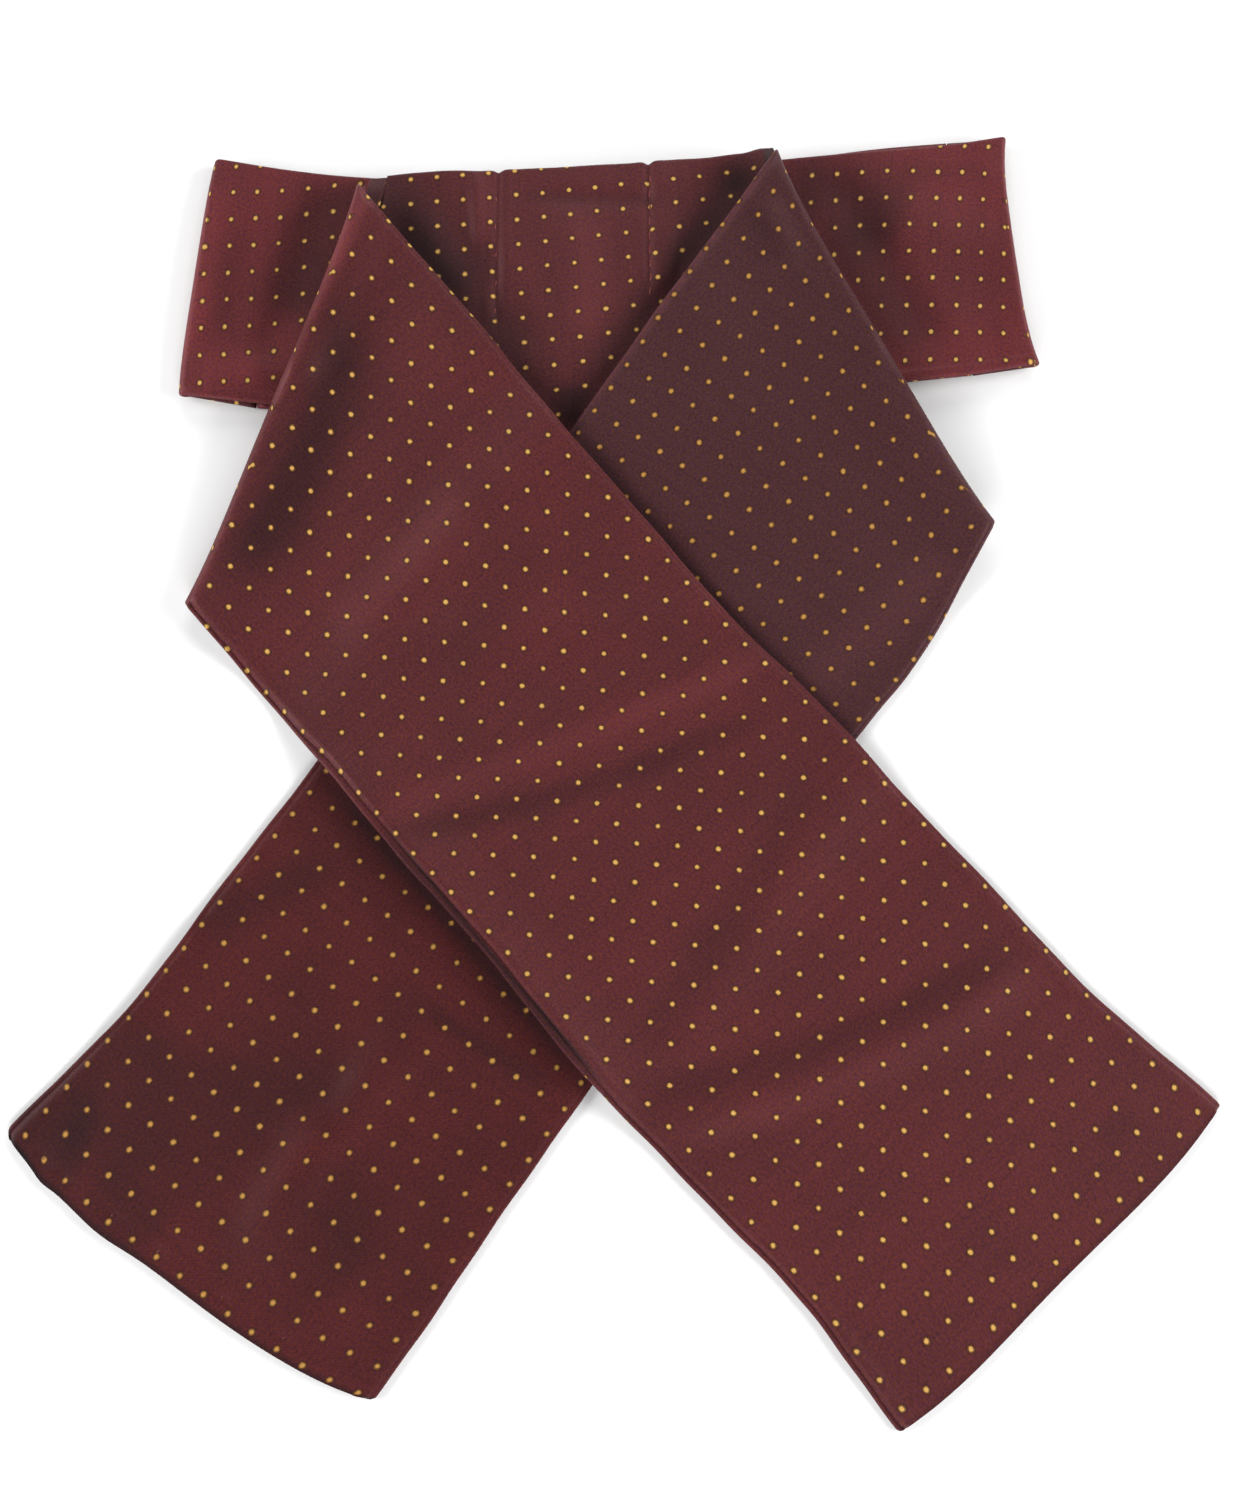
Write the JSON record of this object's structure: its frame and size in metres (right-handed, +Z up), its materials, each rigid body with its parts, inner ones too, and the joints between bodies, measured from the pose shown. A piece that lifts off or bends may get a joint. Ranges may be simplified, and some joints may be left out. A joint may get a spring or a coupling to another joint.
{
  "type": "stock tie",
  "caption": "Ready-shaped stock tie laid flat: a pressed neckband folded into a ring, with a broad pin-dot scarf stitched across it and folded down into crossed tails.",
  "frame": {"origin": "centre of the tie's footprint, on the surface that it lies on", "axes": "+Z up from the surface, +Y from the ends of the tails towards the neckband's top edge, +X to the right as seen from above with the neckband at the top"},
  "size_m": [0.266, 0.298, 0.0103],
  "materials": {
    "scarf_silk": "wine twill silk with a soft sheen and small gold pin dots",
    "neckband_silk": "wine twill silk with a soft sheen and small gold pin dots, pressed flat"
  },
  "bodies": {
    "root": {"neckband_back_left": "neckband_silk", "neckband_back_right": "neckband_silk", "neckband_front": "neckband_silk", "crossover_centre": "scarf_silk", "tail_under": "scarf_silk", "tail_over": "scarf_silk"}
  },
  "joints": []
}
